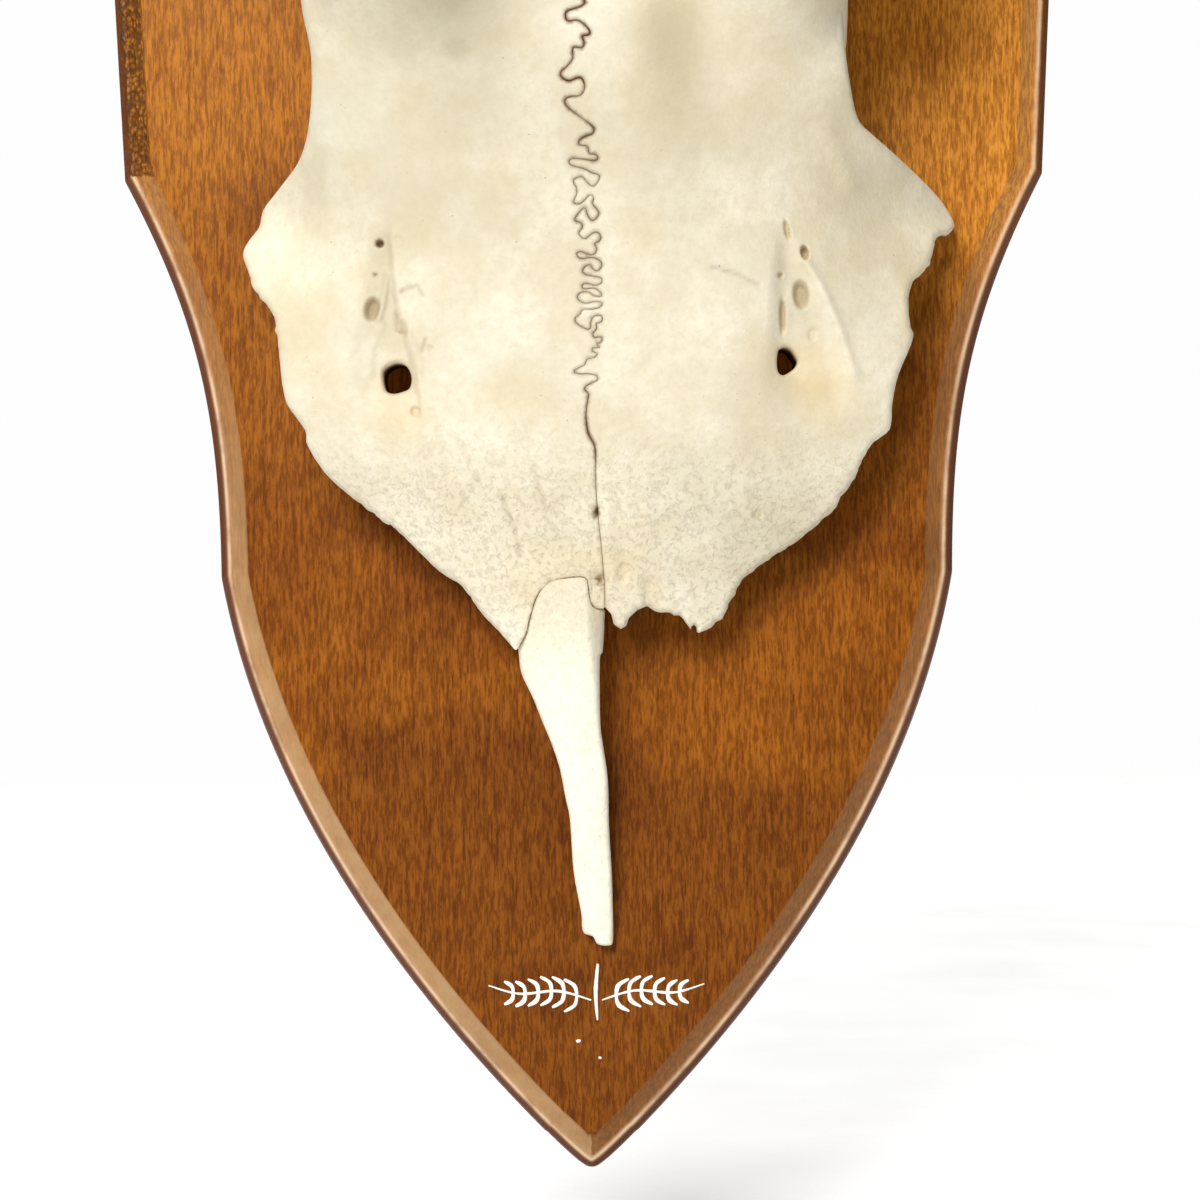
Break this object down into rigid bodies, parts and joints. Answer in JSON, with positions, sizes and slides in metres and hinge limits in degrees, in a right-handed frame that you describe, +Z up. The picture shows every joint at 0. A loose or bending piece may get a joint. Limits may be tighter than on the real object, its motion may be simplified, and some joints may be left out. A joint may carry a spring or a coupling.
{
  "type": "roe deer skull trophy on wooden shield",
  "caption": "Life-size roe buck skull cap with branched antlers, a single nasal bone and frontal bones, fixed on a pointed wooden wall shield.",
  "frame": {"origin": "middle of the shield's flat back, on the wood just below the hanging plate, where it lies against the wall", "axes": "+Z up along the shield, +Y into the wall, +X to the right for someone who faces the trophy; the animal's own right side is on -X"},
  "size_m": [0.1252, 0.1347, 0.3623],
  "materials": {
    "wood": "varnished, with a routed edge",
    "bone": "dry, finely porous bleached bone, matte",
    "antler": "rough, beaded and furrowed antler, satin",
    "antler_tip": "antler polished pale towards the tips",
    "steel": "zinc-plated screw",
    "brass": "dull brass"
  },
  "bodies": {
    "root": {"board": "wood", "frontal_right": "bone", "frontal_left": "bone", "nasal_right": "bone", "braincase": "bone", "antler_right_beam_lower": "antler", "antler_right_beam_upper": "antler", "antler_right_front_tine": "antler_tip", "antler_right_rear_tine": "antler_tip", "antler_right_top_tine": "antler_tip", "antler_left_beam_lower": "antler", "antler_left_beam_upper": "antler", "antler_left_front_tine": "antler_tip", "antler_left_rear_tine": "antler_tip", "antler_left_top_tine": "antler_tip", "skull_screw_right": "steel", "skull_screw_left": "steel", "hanger_plate": "brass", "hanger_screw_lower": "brass", "hanger_screw_upper": "brass"}
  },
  "joints": []
}
